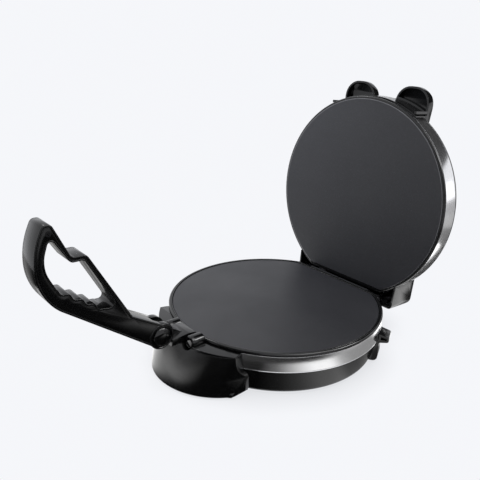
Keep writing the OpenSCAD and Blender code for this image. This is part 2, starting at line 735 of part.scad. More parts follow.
// The lid's dome, pulled in by an even wall for its hollow.
module dome(inset) {
    top = lid_top - inset;
    rotate_extrude()
        polygon([[0, lid_band_z1 - 20], [lid_r - 1 - inset, lid_band_z1 - 20],
            [lid_r - 1 - inset, lid_band_z1 + 2], [lid_r - 4.5 - inset, lid_band_z1 + 6 - inset / 2],
            [lid_r - 14 - inset, top - 12], [lid_r - 34 - inset, top - 7.5],
            [lid_r - 70, top - 3.5], [lid_r - 112, top - 0.8], [0, top]]);
}

module tail_block(inset, y0) {
    half = tail_half_w - inset;
    z1 = lid_top - 1 - inset;
    intersection() {
        along_x(-half, half)
            polygon(rounded([[y0, tail_z0, 0], [tail_y1 - inset, tail_z0, 3],
                [tail_y1 - inset, z1 - 2, 12], [y0, z1, 0]]));
        translate([0, 0, tail_z0 - 1]) linear_extrude(80)
            polygon(rounded([[-half, y0, 0], [half, y0, 0],
                [half, tail_y1 - inset, 9], [-half, tail_y1 - inset, 9]]));
    }
}

// The hollow inside the lid, above the upper plate.
module lid_hollow() {
    intersection() {
        dome(wall);
        translate([0, 0, lid_band_z1 - 3]) cylinder(r = cover_r - wall, h = 80);
    }
    translate([0, 0, lid_band_z0]) cylinder(r = cover_r - wall, h = lid_band_h);
}

// One front ear: a rounded hood seen from above that runs back over the dome.
module ear_block(side, inset) {
    y0 = -lid_r + 42;
    y1 = -lid_r - ear_out + inset;
    half = ear_half_w - inset;
    x = side * ear_x;
    top = ear_z1 - inset;
    intersection() {
        translate([0, 0, apron_z1]) linear_extrude(80)
            polygon(rounded([[x - half, y0, 10], [x + half, y0, 10],
                [x + half, y1, ear_round - inset], [x - half, y1, ear_round - inset]], 8));
        along_x(x - half, x + half)
            polygon(rounded([[y0, apron_z1, 0], [y0, top - 4.5, 0], [y0 - 34, top, 40],
                [y1 + 12, top - 1, 12], [y1, top - 6, 5], [y1, apron_z1, 0]]));
    }
}

module ear_pocket(side) {
    difference() {
        ear_block(side, ear_wall);
        translate([0, 0, apron_z1 - 1]) cylinder(r = apron_r + ear_wall, h = 80);
    }
}

// The black apron that covers the lid's band under the two ears, with a rib at each end.
module lid_apron() {
    difference() {
        union() {
            intersection() {
                translate([0, 0, ear_z0]) cylinder(r = apron_r, h = apron_z1 - ear_z0);
                translate([-apron_half_w, -lid_r - 10, 0]) cube([2 * apron_half_w, lid_r, 80]);
            }
            for (side = [-1, 1])
                translate([side * (apron_half_w - 2) - 2, -apron_r * 0.87 - 6, ear_z0])
                    cube([4, 10, ear_rim_z - ear_z0 - 0.4]);
        }
        translate([0, 0, ear_z0 - 1]) cylinder(r = lid_band_r + 0.3, h = lid_band_z1 - ear_z0 + 1);
        translate([0, 0, ear_z0 - 1]) cylinder(r = lid_r - 1 - wall / 2, h = 80);
        translate([0, 0, apron_z1]) cylinder(r = apron_r + 0.4, h = 80);
        translate([-lid_r, 0, 0]) cube([2 * lid_r, lid_r, 80]);
    }
}

module lid_cover() color([0.05, 0.05, 0.055]) opened()
    difference() {
        union() {
            intersection() {
                dome(0);
                translate([0, 0, lid_band_z1]) cylinder(r = lid_r, h = 80);
            }
            translate([0, 0, lid_band_z0 + 4]) cylinder(r = cover_r, h = lid_band_h);
            lid_apron();
        }
        lid_hollow();
        tail_block(-seat, tail_y0 - seat);
        for (x = [-14, 14]) translate([x, 60, lid_top - 20]) cylinder(d = lamp_d + 0.2, h = 40);
    }

// The box at the back of the lid that covers the hinge, open below and towards the lid's hollow.
module hinge_housing() color([0.05, 0.05, 0.055]) opened()
    difference() {
        tail_block(0, tail_y0);
        tail_block(wall, tail_y0 + wall);
        lid_hollow();
        translate([0, 0, tail_z0 - 1]) cylinder(r = lid_r + 0.4, h = lid_band_z0 + seat - tail_z0 + 1);
    }

// One ear on the lid's front edge: a hood that is hollow and open towards the plate's side.
module lid_ear(side) color([0.05, 0.05, 0.055]) opened()
    difference() {
        ear_block(side, 0);
        translate([0, 0, apron_z1 - 1]) cylinder(r = apron_r + seat, h = 1 + seat);
        difference() {
            translate([0, 0, apron_z1 - 1]) cylinder(r = lid_r + 60, h = ear_rim_z - apron_z1 + 1);
            translate([0, 0, apron_z1 - 2]) cylinder(r = apron_r, h = 80);
        }
        dome(-seat);
        ear_pocket(side);
    }
module lid_ear_left() lid_ear(-1);
module lid_ear_right() lid_ear(1);

module upper_heater() color([0.45, 0.43, 0.4]) opened()
    translate([0, 0, plate_gap]) mirror([0, 0, 1]) heater();

module upper_heat_shield() color([0.7, 0.7, 0.7]) opened()
    translate([0, 0, plate_gap]) mirror([0, 0, 1]) heat_shield();

module upper_thermostat() color([0.75, 0.7, 0.62]) opened()
    translate([0, 0, plate_gap]) mirror([0, 0, 1]) thermostat();

module lid_screws() color([0.6, 0.6, 0.6]) opened()
    around(3, screw_circle_r, 30) {
        z = plate_gap + plate_t + shield_drop + seat;
        translate([0, 0, z]) cylinder(d = screw_d + 4, h = 2.4);
        translate([0, 0, plate_gap + plate_t + 4])
            cylinder(d = screw_d - 0.8, h = shield_drop - 3);
    }

// A folded steel arm: two straps beside the pin, a bored end and a stem up into the lid.
module hinge_arm(side) color([0.55, 0.55, 0.57]) opened() {
    x_end = arm_x + arm_len;
    difference() {
        union() {
            for (z = [5, -7])
                translate([side > 0 ? arm_x : -x_end, hinge_y - 3.2, hinge_z + z])
                    cube([arm_len, 6.4, 2]);
            translate([side > 0 ? x_end - 2.4 : -x_end, hinge_y - 3.2, hinge_z - 7])
                cube([2.4, 6.4, 60]);
            translate([side > 0 ? arm_x : -x_end, hinge_y - 3.2, 30])
                cube([arm_len, tail_y1 - wall - seat - hinge_y + 3.2, 2]);
            translate([side > 0 ? arm_x : -x_end, tail_y1 - wall - seat - 2, 22])
                cube([arm_len, 2, 13]);
        }
        rod_x(-120, 120, hinge_y, hinge_z, hinge_pin_d / 2 + pin_clear);
    }
}
module hinge_arm_left() hinge_arm(-1);
module hinge_arm_right() hinge_arm(1);

module hinge_pin() color([0.7, 0.7, 0.72]) opened() {
    rod_x(-pin_half, pin_half, hinge_y, hinge_z, hinge_pin_d / 2);
    for (side = [-1, 1])
        rod_x(side > 0 ? pin_half : -pin_half - 1.6, side > 0 ? pin_half + 1.6 : -pin_half,
            hinge_y, hinge_z, hinge_pin_d / 2 + 1.2);
}

// A signal lamp: a lens with a collar inside the lid.
module lamp(x) opened()
    translate([x, 60, lid_top - 8]) {
        cylinder(d = lamp_d, h = 8);
        translate([0, 0, -3]) cylinder(d = lamp_d + 3, h = 3);
    }
module power_lamp() color([0.75, 0.08, 0.05]) lamp(-14);
module ready_lamp() color([0.1, 0.6, 0.15]) lamp(14);

base_pan();
base_band();
base_rim();
lower_plate();
lower_heater();
lower_heat_shield();
lower_thermostat();
thermal_fuse();
terminal_block();
cord_gland();
rubber_feet();
base_screws();
side_lug_left();
side_lug_right();
front_panel();
lever_bracket();
bracket_screws();
lid_peg_left();
lid_peg_right();
hinge_leaf_left();
hinge_leaf_right();
leaf_screws();
lever_pin();
lever_cap_left();
lever_cap_right();
lever_shell_left();
lever_shell_right();
lever_strap();
lever_screws();
lid_rim();
lid_band();
lid_cover();
hinge_housing();
lid_ear_left();
lid_ear_right();
upper_plate();
upper_heater();
upper_heat_shield();
upper_thermostat();
lid_screws();
hinge_arm_left();
hinge_arm_right();
hinge_pin();
power_lamp();
ready_lamp();
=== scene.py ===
import math

import bmesh
import bpy
from mathutils import Matrix, Vector
from mathutils.geometry import delaunay_2d_cdt


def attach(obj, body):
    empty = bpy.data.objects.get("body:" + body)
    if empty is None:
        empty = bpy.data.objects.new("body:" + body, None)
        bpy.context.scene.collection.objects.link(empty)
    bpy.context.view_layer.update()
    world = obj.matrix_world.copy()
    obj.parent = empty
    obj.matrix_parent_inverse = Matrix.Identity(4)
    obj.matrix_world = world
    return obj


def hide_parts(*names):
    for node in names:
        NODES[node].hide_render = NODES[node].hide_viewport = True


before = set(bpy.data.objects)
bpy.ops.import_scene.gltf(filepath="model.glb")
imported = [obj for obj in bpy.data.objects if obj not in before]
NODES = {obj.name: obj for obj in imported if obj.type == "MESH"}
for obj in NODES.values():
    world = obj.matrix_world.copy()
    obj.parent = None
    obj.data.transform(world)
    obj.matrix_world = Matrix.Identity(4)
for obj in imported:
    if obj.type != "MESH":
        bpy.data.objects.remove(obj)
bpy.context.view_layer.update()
MM = 0.001

# Main sizes, in millimetres, as in the part's source
BODY_R = 158.0
BAND_TOP, BAND_BOTTOM, PAN_BOTTOM = -3.7, -26.4, -62.7
BASE_BACK, LID_BACK = 135.0, 138.3
HINGE_Y, HINGE_Z, LID_OPEN = 143.7, -11.0, 94
LEVER_Y, LEVER_Z, LEVER_HALF = -208.5, 15.0, 15.8
LID_BAND_LOW, LID_BAND_HIGH = 6.0, 31.0
LAMP_X, LAMP_Y = 14, 60
HOLE_STEPS, DRUM_STEPS, BODY_STEPS = 48, 96, 256  # steps round a turned form
TINY = 0.05  # keeps a piece just inside its solid
FAR = 200  # the reach of a cutter that goes past the part
MITRE = 0.45  # limits how far a sharp corner moves

# The lid is drawn closed and turned open about the hinge
HINGE = Vector((0, HINGE_Y, HINGE_Z)) * MM
OPEN = (Matrix.Translation(HINGE) @ Matrix.Rotation(math.radians(-LID_OPEN), 4, "X")
        @ Matrix.Translation(-HINGE))

# ---------------------------------------------------------------- materials


class Tree:
    """A short way to write a node tree."""

    def __init__(self, owner):
        owner.use_nodes = True
        self.tree = owner.node_tree
        self.tree.nodes.clear()

    def node(self, kind, **values):
        n = self.tree.nodes.new(kind)
        for key, value in values.items():
            if key in n.inputs:
                n.inputs[key].default_value = value
            else:
                setattr(n, key, value)
        return n

    def link(self, a, out, b, inp):
        self.tree.links.new(a.outputs[out], b.inputs[inp])


class Nodes(Tree):
    """A material round one Principled shader. Scales are per metre."""

    def __init__(self, name):
        self.mat = bpy.data.materials.new(name)
        super().__init__(self.mat)
        self.out = self.node("ShaderNodeOutputMaterial")
        self.bsdf = self.node("ShaderNodeBsdfPrincipled")
        self.link(self.bsdf, "BSDF", self.out, "Surface")

    def set(self, **values):
        for key, value in values.items():
            self.bsdf.inputs[key.replace("_", " ")].default_value = value

    def coords(self, kind="Object", scale=(1, 1, 1)):
        m = self.node("ShaderNodeMapping", Scale=scale)
        self.link(self.node("ShaderNodeTexCoord"), kind, m, "Vector")
        return m

    def noise(self, where, scale, detail, rough):
        n = self.node("ShaderNodeTexNoise", Scale=scale, Detail=detail, Roughness=rough)
        self.link(where, "Vector", n, "Vector")
        return n

    def ramp(self, src, out, stops):
        r = self.node("ShaderNodeValToRGB")
        self.link(src, out, r, "Fac")
        els = r.color_ramp.elements
        while len(els) < len(stops):
            els.new(0.5)
        for el, (pos, col) in zip(els, stops):
            el.position = pos
            el.color = tuple(col) + (1,)
        return r

    def spread(self, src, out, low, high, lo_in=0.3, hi_in=0.7):
        """Roughness from low to high, as the source goes from lo_in to hi_in."""
        m = self.node("ShaderNodeMapRange")
        ends = {"From Min": lo_in, "From Max": hi_in, "To Min": low, "To Max": high}
        for key, value in ends.items():
            m.inputs[key].default_value = value
        self.link(src, out, m, "Value")
        self.link(m, "Result", self.bsdf, "Roughness")

    def bump(self, src, out, strength, distance, after=None):
        """A bump on the surface, on top of an earlier one if that is given."""
        b = self.node("ShaderNodeBump", Strength=strength, Distance=distance)
        self.link(src, out, b, "Height")
        if after is not None:
            self.link(after, "Normal", b, "Normal")
        self.link(b, "Normal", self.bsdf, "Normal")
        return b

    def colour(self, src, out, stops):
        self.link(self.ramp(src, out, stops), "Color", self.bsdf, "Base Color")


def tinted(colour, share):
    return tuple(c * share for c in colour)


def gloss_black(name, base, rough, spec, grain=0.00002):
    """Injection-moulded glossy black: a faint orange peel, cloudy gloss and fine dust."""
    m = Nodes(name)
    where = m.coords()
    cloud = m.noise(where, 28, 4, 0.55)
    rub = m.noise(where, 420, 3, 0.6)
    mix = m.node("ShaderNodeMath", operation="MULTIPLY")
    m.link(cloud, "Fac", mix, 0)
    m.link(rub, "Fac", mix, 1)
    m.spread(mix, "Value", rough[0], rough[1], 0.1, 0.42)
    dust = m.noise(where, 1500, 2, 0.5)
    black, speck = (base, base, base * 1.06), (base * 2.6, base * 2.6, base * 2.7)
    m.colour(dust, "Fac", [(0.0, black), (0.72, black), (0.8, speck)])
    peel = m.bump(m.noise(where, 900, 2, 0.4), "Fac", 0.12, grain)
    m.bump(m.noise(where, 60, 2, 0.5), "Fac", 0.06, 0.0001, peel)
    m.set(Specular_IOR_Level=spec)
    return m.mat


def brushed_steel(name, base, rough, aniso):
    """Polished sheet with fine lines that run round the band, from the mesh's own UV."""
    m = Nodes(name)
    lines = m.noise(m.coords("UV", (3.0, 2600.0, 1)), 1.0, 4, 0.6)
    coarse = m.noise(m.coords("UV", (14.0, 700.0, 1)), 1.0, 3, 0.5)
    cloud = m.noise(m.coords(), 18, 3, 0.5)
    m.spread(lines, "Fac", rough * 0.75, rough * 1.3)
    m.colour(cloud, "Fac", [(0.3, tinted(base, 0.93)), (0.7, base)])
    fine = m.bump(lines, "Fac", 0.12, 0.00002)
    m.bump(coarse, "Fac", 0.08, 0.00003, fine)
    tangent = m.node("ShaderNodeTangent", direction_type="UV_MAP", uv_map="around")
    m.link(tangent, "Tangent", m.bsdf, "Tangent")
    m.set(Metallic=1.0, Anisotropic=aniso)
    return m.mat


def nonstick(name):
    """Dark grey non-stick coating: fine light and dark specks over a soft stipple."""
    m = Nodes(name)
    where = m.coords()
    fine = m.noise(where, 1500, 2, 0.6)
    mid = m.noise(where, 520, 3, 0.6)
    cloud = m.noise(where, 9, 3, 0.5)
    specks = m.ramp(fine, "Fac", [(0.0, (0.007, 0.007, 0.0085)), (0.42, (0.011, 0.011, 0.013)),
                                  (0.62, (0.02, 0.02, 0.023)), (0.78, (0.066, 0.066, 0.074))])
    tone = m.ramp(mid, "Fac", [(0.3, (0.8, 0.8, 0.8)), (0.7, (1.12, 1.12, 1.12))])
    mul = m.node("ShaderNodeMix", data_type="RGBA", blend_type="MULTIPLY")
    mul.inputs["Factor"].default_value = 1.0
    m.link(specks, "Color", mul, "A")
    m.link(tone, "Color", mul, "B")
    m.link(mul, "Result", m.bsdf, "Base Color")
    m.spread(cloud, "Fac", 0.42, 0.56)
    stipple = m.bump(mid, "Fac", 0.4, 0.00006)
    m.bump(fine, "Fac", 0.35, 0.00004, stipple)
    m.set(Specular_IOR_Level=0.5)
    return m.mat


def worn_metal(name, base, rough):
    """Plated or cast metal with clouded gloss, faint pits and darker patches."""
    m = Nodes(name)
    where = m.coords()
    cloud = m.noise(where, 60, 4, 0.6)
    m.spread(cloud, "Fac", rough * 0.75, rough * 1.35)
    m.colour(cloud, "Fac", [(0.25, tinted(base, 0.7)), (0.6, base)])
    m.bump(m.noise(where, 1200, 2, 0.5), "Fac", 0.2, 0.00004)
    m.set(Metallic=1.0)
    return m.mat


def matte(name, base, rough):
    """Rubber, ceramic and textured plastic: grain, a little tone change and no shine."""
    m = Nodes(name)
    where = m.coords()
    grain = m.noise(where, 700, 3, 0.6)
    cloud = m.noise(where, 40, 3, 0.5)
    m.colour(cloud, "Fac", [(0.3, tinted(base, 0.8)), (0.7, tinted(base, 1.1))])
    m.spread(grain, "Fac", rough * 0.88, min(1.0, rough * 1.12))
    m.bump(grain, "Fac", 0.45, 0.00008)
    return m.mat


def lens(name, base):
    """A tinted lamp lens with fine moulded rings seen through it."""
    m = Nodes(name)
    rings = m.node("ShaderNodeTexVoronoi", Scale=900)
    m.link(m.coords(), "Vector", rings, "Vector")
    m.colour(rings, "Distance", [(0.0, tinted(base, 1.25)), (0.8, tinted(base, 0.55))])
    m.bump(rings, "Distance", 0.3, 0.0001)
    m.set(Roughness=0.12, Coat_Weight=1.0, Coat_Roughness=0.03)
    return m.mat


HOUSING = gloss_black("housing_black", 0.0035, (0.14, 0.22), 0.5)
DOME = gloss_black("dome_black", 0.0035, (0.1, 0.17), 0.4)
LEVER = gloss_black("lever_black", 0.0035, (0.12, 0.18), 0.4, 0.000006)
TRIM = gloss_black("trim_black", 0.003, (0.08, 0.13), 0.5)
BAND = brushed_steel("band_steel", (0.88, 0.88, 0.89), 0.16, 0.6)
EDGE = worn_metal("plate_edge_metal", (0.2, 0.2, 0.21), 0.35)
COATING = nonstick("nonstick_coating")
HEATER = worn_metal("heater_tube", (0.3, 0.27, 0.24), 0.5)
SHIELD = worn_metal("shield_sheet", (0.72, 0.72, 0.74), 0.35)
CERAMIC = matte("control_ceramic", (0.7, 0.66, 0.56), 0.6)
RUBBER = matte("foot_rubber", (0.02, 0.02, 0.02), 0.85)
SCREW = worn_metal("screw_zinc", (0.5, 0.5, 0.52), 0.3)
SCREW_DARK = worn_metal("screw_blackened", (0.03, 0.03, 0.032), 0.35)
HINGE_STEEL = worn_metal("hinge_plated", (0.16, 0.16, 0.17), 0.3)
HINGE_BLACK = gloss_black("hinge_knuckle_black", 0.02, (0.16, 0.26), 0.7)
RED = lens("lamp_red", (0.55, 0.02, 0.015))
GREEN = lens("lamp_green", (0.03, 0.35, 0.06))

# ---------------------------------------------------------------- mesh helpers


def mesh_of(bm, name):
    me = bpy.data.meshes.new(name)
    bm.to_mesh(me)
    bm.free()
    return me


def placed_in_scene(name, me):
    ob = bpy.data.objects.new(name, me)
    bpy.context.scene.collection.objects.link(ob)
    return ob


def smooth(me):
    me.polygons.foreach_set("use_smooth", [True] * len(me.polygons))


def add(name, me, mat, body, slot, *replaced):
    """Puts a mesh in the scene as a piece of one body, smooth up to its sharp edges."""
    ob = placed_in_scene(name, me)
    me.materials.append(mat)
    smooth(me)
    me.set_sharp_from_angle(angle=math.radians(35))
    me.update()
    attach(ob, body)
    if replaced:
        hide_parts(*replaced)


def rounded(pts, n):
    """The points of a closed outline whose corners (x, y, radius) are arcs of n steps."""
    out = []
    for i, here in enumerate(pts):
        a, b, c = Vector(pts[i - 1][:2]), Vector(here[:2]), Vector(pts[(i + 1) % len(pts)][:2])
        r = here[2]
        if r <= 0:
            out.append(b)
            continue
        u, w = (a - b).normalized(), (c - b).normalized()
        half = math.acos(max(-1, min(1, u.dot(w)))) / 2
        p, q = b + u * r / math.tan(half), b + w * r / math.tan(half)
        o = b + (u + w).normalized() * r / math.sin(half)
        s = math.atan2(p.y - o.y, p.x - o.x)
        t = (math.atan2(q.y - o.y, q.x - o.x) - s + math.pi) % (2 * math.pi) - math.pi
        turns = [s + t * k / n for k in range(n + 1)]
        out += [o + Vector((math.cos(a), math.sin(a))) * r for a in turns]
    return out


def area2(loop):
    """Twice an outline's area, positive where it runs anticlockwise."""
    return sum(a.x * b.y - b.x * a.y for a, b in zip(loop, loop[1:] + loop[:1]))


def moved_in(loop, d):
    """A closed outline moved towards its own inside by d, mitred."""
    ccw = 1 if area2(loop) > 0 else -1
    out = []
    for i, p in enumerate(loop):
        e1, e2 = p - loop[i - 1], loop[(i + 1) % len(loop)] - p
        if e1.length < 1e-6 or e2.length < 1e-6:
            out.append(p.copy())
            continue
        e1.normalize(), e2.normalize()
        n1, n2 = Vector((-e1.y, e1.x)) * ccw, Vector((-e2.y, e2.x)) * ccw
        n = n1 + n2
        if n.length < 1e-6:
            out.append(p + n1 * d)
            continue
        n.normalize()
        out.append(p + n * d / max(MITRE, n.dot(n1)))
    return out


def inside(p, loop):
    """Whether a point lies inside an outline."""
    hit = False
    for a, b in zip(loop, loop[1:] + loop[:1]):
        if (a.y > p.y) != (b.y > p.y) and p.x < (b.x - a.x) * (p.y - a.y) / (b.y - a.y) + a.x:
            hit = not hit
    return hit


def fill(bm, loops):
    """Triangles between an outer ring of vertices and the rings of its holes, in a YZ plane."""
    flat = [v for loop in loops for v in loop]
    pts = [Vector((v.co.y, v.co.z)) / MM for v in flat]
    rings, edges, at = [], [], 0
    for loop in loops:
        n = len(loop)
        edges += [(at + i, at + (i + 1) % n) for i in range(n)]
        rings.append(pts[at:at + n])
        at += n
    co, _, faces, origin, _, _ = delaunay_2d_cdt(pts, edges, [], 0, 1e-5)
    for f in faces:
        mid = sum((co[i] for i in f), Vector((0, 0))) / len(f)
        if inside(mid, rings[0]) and not any(inside(mid, r) for r in rings[1:]):
            vs = [flat[origin[i][0]] for i in f if origin[i]]
            if len(set(vs)) == 3 and bm.faces.get(vs) is None:
                bm.faces.new(vs)


def slab(outer, holes, a0, a1, bevel, steps):
    """An outline with holes, as (y, z), made solid from x = a0 to a1 with rounded edges at a1."""
    bm = bmesh.new()
    # (inset, x) of each layer, from the flat end to the rounded one
    turn = [math.pi / 2 * k / steps for k in range(steps, -1, -1)]
    layers = [(0, a0)] + [(bevel * (1 - math.sin(t)), a1 - bevel * (1 - math.cos(t))) for t in turn]
    rings = []
    for which, loop in enumerate([outer] + holes):
        made = []
        for inset, x in layers:
            pts = moved_in(loop, inset if which == 0 else -inset) if inset else loop
            made.append([bm.verts.new(Vector((x, p.x, p.y)) * MM) for p in pts])
        for r0, r1 in zip(made, made[1:]):
            for i in range(len(loop)):
                bm.faces.new((r0[i - 1], r0[i], r1[i], r1[i - 1]))
        rings.append(made)
    for end in (0, -1):
        fill(bm, [r[end] for r in rings])
    bmesh.ops.recalc_face_normals(bm, faces=bm.faces)
    return mesh_of(bm, "slab")


def lathe(profile, steps, cut=None):
    """A closed profile of (r, z) turned round Z and cut off behind y = cut. Its UV runs round."""
    bm = bmesh.new()
    uv = bm.loops.layers.uv.new("around")
    along = [0.0]
    n = len(profile)
    for a, b in zip(profile, profile[1:] + profile[:1]):
        along.append(along[-1] + math.dist(a, b))
    grid = []
    for s in range(steps):
        t = 2 * math.pi * s / steps - math.pi / 2
        c, d = math.cos(t) * MM, math.sin(t) * MM
        grid.append([bm.verts.new((r * c, r * d, z * MM)) for r, z in profile])
    rmax = max(r for r, z in profile)
    for s in range(steps):
        e = (s + 1) % steps
        for i in range(n):
            j = (i + 1) % n
            f = bm.faces.new((grid[s][i], grid[e][i], grid[e][j], grid[s][j]))
            for loop, (si, k) in zip(f.loops, ((s, i), (s + 1, i), (s + 1, i + 1), (s, i + 1))):
                loop[uv].uv = (2 * math.pi * rmax * si / steps * MM, along[k] * MM)
    if cut is not None:
        geom = bm.verts[:] + bm.edges[:] + bm.faces[:]
        made = bmesh.ops.bisect_plane(bm, geom=geom, plane_co=(0, cut * MM, 0), plane_no=(0, 1, 0),
                                      clear_outer=True)
        edges = [g for g in made["geom_cut"] if isinstance(g, bmesh.types.BMEdge)]
        bmesh.ops.holes_fill(bm, edges=[e for e in edges if e.is_boundary])
    bmesh.ops.recalc_face_normals(bm, faces=bm.faces)
    return mesh_of(bm, "lathe")


def rod(r, z0, z1):
    """The closed profile of a rod along Z."""
    return [(0.01, z0), (r, z0), (r, z1), (0.01, z1)]


def turned(profile, place, steps=64):
    """An open profile of (r, x) from the axis outwards, turned round X and closed on the axis."""
    bm = bmesh.new()
    grid = [[bm.verts.new((x * MM, r * math.cos(2 * math.pi * s / steps) * MM,
                           r * math.sin(2 * math.pi * s / steps) * MM)) for r, x in profile]
            for s in range(steps)]
    for s in range(steps):
        for i in range(len(profile) - 1):
            bm.faces.new((grid[s][i], grid[s - 1][i], grid[s - 1][i + 1], grid[s][i + 1]))
    bmesh.ops.remove_doubles(bm, verts=bm.verts, dist=1e-7)
    bmesh.ops.holes_fill(bm, edges=[e for e in bm.edges if e.is_boundary])
    bmesh.ops.recalc_face_normals(bm, faces=bm.faces)
    me = mesh_of(bm, "turned")
    me.transform(Matrix.Translation(Vector(place) * MM))
    return me


def evaluated(ob):
    """The mesh of an object with its modifiers applied."""
    dg = bpy.context.evaluated_depsgraph_get()
    return bpy.data.meshes.new_from_object(ob.evaluated_get(dg))


def eased(node, width, angle=32):
    """A copy of a CAD node's mesh whose sharp edges are rounded."""
    me = NODES[node].data.copy()
    me.materials.clear()
    bm = bmesh.new()
    bm.from_mesh(me)
    bmesh.ops.remove_doubles(bm, verts=bm.verts, dist=2e-6)
    bmesh.ops.dissolve_limit(bm, angle_limit=math.radians(0.6), verts=bm.verts, edges=bm.edges)
    bm.to_mesh(me)
    bm.free()
    ob = placed_in_scene("tmp", me)
    mod = ob.modifiers.new("b", "BEVEL")
    mod.width = width * MM
    mod.segments = 3
    mod.limit_method = "ANGLE"
    mod.angle_limit = math.radians(angle)
    mod.use_clamp_overlap = True
    mod.miter_outer = "MITER_ARC"
    new = evaluated(ob)
    bpy.data.objects.remove(ob)
    return new


def joined(*meshes):
    bm = bmesh.new()
    for me in meshes:
        bm.from_mesh(me)
    return mesh_of(bm, "joined")


def cut_by(me, *cutters):
    """The mesh minus other closed meshes."""
    ob = placed_in_scene("tmp", me)
    extra = []
    for cutter in cutters:
        mod = ob.modifiers.new("c", "BOOLEAN")
        mod.operation = "DIFFERENCE"
        mod.solver = "EXACT"
        mod.object = placed_in_scene("cut", cutter)
        extra.append(mod.object)
    new = evaluated(ob)
    for one in extra + [ob]:
        bpy.data.objects.remove(one)
    return new


def block(x0, x1, y0, y1, z0, z1):
    bm = bmesh.new()
    bmesh.ops.create_cube(bm, size=1)
    for v in bm.verts:
        v.co = Vector(((x0 + x1) / 2 + v.co.x * (x1 - x0), (y0 + y1) / 2 + v.co.y * (y1 - y0),
                       (z0 + z1) / 2 + v.co.z * (z1 - z0))) * MM
    return mesh_of(bm, "block")


def curve(points):
    """A smooth line through a list of points (Catmull-Rom)."""
    n = 5
    out = []
    pts = [points[0]] + list(points) + [points[-1]]
    for i in range(1, len(pts) - 2):
        p0, p1, p2, p3 = (Vector(q) for q in pts[i - 1:i + 3])
        for k in range(n):
            t = k / n
            out.append(tuple(0.5 * ((2 * p1) + (p2 - p0) * t
                                    + (2 * p0 - 5 * p1 + 4 * p2 - p3) * t * t
                                    + (3 * p1 - p0 - 3 * p2 + p3) * t ** 3)))
    out.append(tuple(points[-1]))
    return out


def hull(points):
    """The closed body around a list of points."""
    bm = bmesh.new()
    for p in points:
        bm.verts.new(Vector(p) * MM)
    made = bmesh.ops.convex_hull(bm, input=bm.verts)
    loose = [v for v in made["geom_interior"] if isinstance(v, bmesh.types.BMVert)]
    bmesh.ops.delete(bm, geom=loose, context="VERTS")
    return mesh_of(bm, "hull")


def through(levels):
    """A closed body through outlines with equally many points, in their order."""
    bm = bmesh.new()
    rings = [[bm.verts.new(Vector(p) * MM) for p in level] for level in levels]
    for low, high in zip(rings, rings[1:]):
        for k in range(len(low)):
            bm.faces.new((low[k - 1], low[k], high[k], high[k - 1]))
    bm.faces.new(rings[0])
    bm.faces.new(rings[-1])
    bmesh.ops.recalc_face_normals(bm, faces=bm.faces)
    return mesh_of(bm, "through")


def paint(mat, *nodes):
    """CAD nodes stay as they are and get a better material."""
    for node in nodes:
        me = NODES[node].data
        me.materials.clear()
        me.materials.append(mat)
        smooth(me)


# ---------------------------------------------------------------- base

paint(HOUSING, "base_pan")
paint(COATING, "lower_plate")
paint(HEATER, "lower_heater")
paint(SHIELD, "lower_heat_shield")
paint(CERAMIC, "lower_thermostat", "thermal_fuse", "terminal_block")
paint(RUBBER, "cord_gland", "rubber_feet")
paint(SCREW, "base_screws", "bracket_screws", "leaf_screws", "lid_screws")
paint(SCREW_DARK, "lever_screws")

# Base rim: a rounded roll outside, a fine groove and a flat inner lip
rim = [(152.95, -3.6), (157.2, -3.6), (157.85, -3.1), (158.0, -2.2), (157.9, -1.2), (157.5, -0.3),
       (156.9, 0.35), (156.2, 0.8), (155.5, 0.98), (155.1, 0.95), (154.95, 0.6), (154.7, 0.45),
       (154.45, 0.6), (154.3, 0.92), (153.5, 0.95), (153.1, 0.8), (152.95, 0.4)]
bar = [(129.9, -3.6), (134.9, -3.6), (134.9, 0.6), (134.5, 0.95), (130.3, 0.95), (129.9, 0.6)]
BAR_HALF = 80.5
me = joined(lathe(rim, BODY_STEPS, BASE_BACK - TINY),
            through([[(x, y, z) for y, z in bar] for x in (-BAR_HALF, BAR_HALF)]))
add("rim_base", me, HOUSING, "base", "housing_plastic", "base_rim")

# Base band: a bead along its lower edge and a turned-in upper edge
band = [(155.85, BAND_BOTTOM + 0.1), (157.35, BAND_BOTTOM + 0.1), (157.7, BAND_BOTTOM + 0.35),
        (157.75, BAND_BOTTOM + 0.8), (157.45, BAND_BOTTOM + 1.25), (157.38, BAND_BOTTOM + 2),
        (157.38, BAND_TOP - 0.9), (157.2, BAND_TOP - 0.3), (156.9, BAND_TOP - 0.15),
        (155.85, BAND_TOP - 0.15)]
me = lathe(band, BODY_STEPS, BASE_BACK - TINY)
add("band_base", me, BAND, "base", "polished_band", "base_band")

for side in ("left", "right"):
    add("lug_" + side, eased("side_lug_" + side, 0.8), HOUSING, "base", "housing_plastic",
        "side_lug_" + side)
    add("peg_" + side, eased("lid_peg_" + side, 0.6), TRIM, "base", "trim_plastic",
        "lid_peg_" + side)
paint(HINGE_BLACK, "hinge_leaf_left", "hinge_leaf_right")
paint(HINGE_STEEL, "hinge_arm_left", "hinge_arm_right", "hinge_pin")
add("bracket", eased("lever_bracket", 0.7), HOUSING, "base", "housing_plastic", "lever_bracket")

# Front panel: the part's outlines at its own heights with smooth curves between them
PANEL_TOP, PANEL_LEDGE = BAND_TOP - 0.3, BAND_BOTTOM - 10.6
PANEL_HALF, FLARE, WALL = 79.0, 8.5, 2.8
PANEL_OUT, PANEL_R = (42.5, 23.0), (93.0, 125.0)  # at the foot and at the top edge
ARC_STEPS, HOLLOW_BACK = 24, -108
PEG_X, PEG_Z, NOTCH_HALF = 25, -1, 6.6
above, below = PANEL_TOP - PANEL_LEDGE, PANEL_LEDGE - PAN_BOTTOM
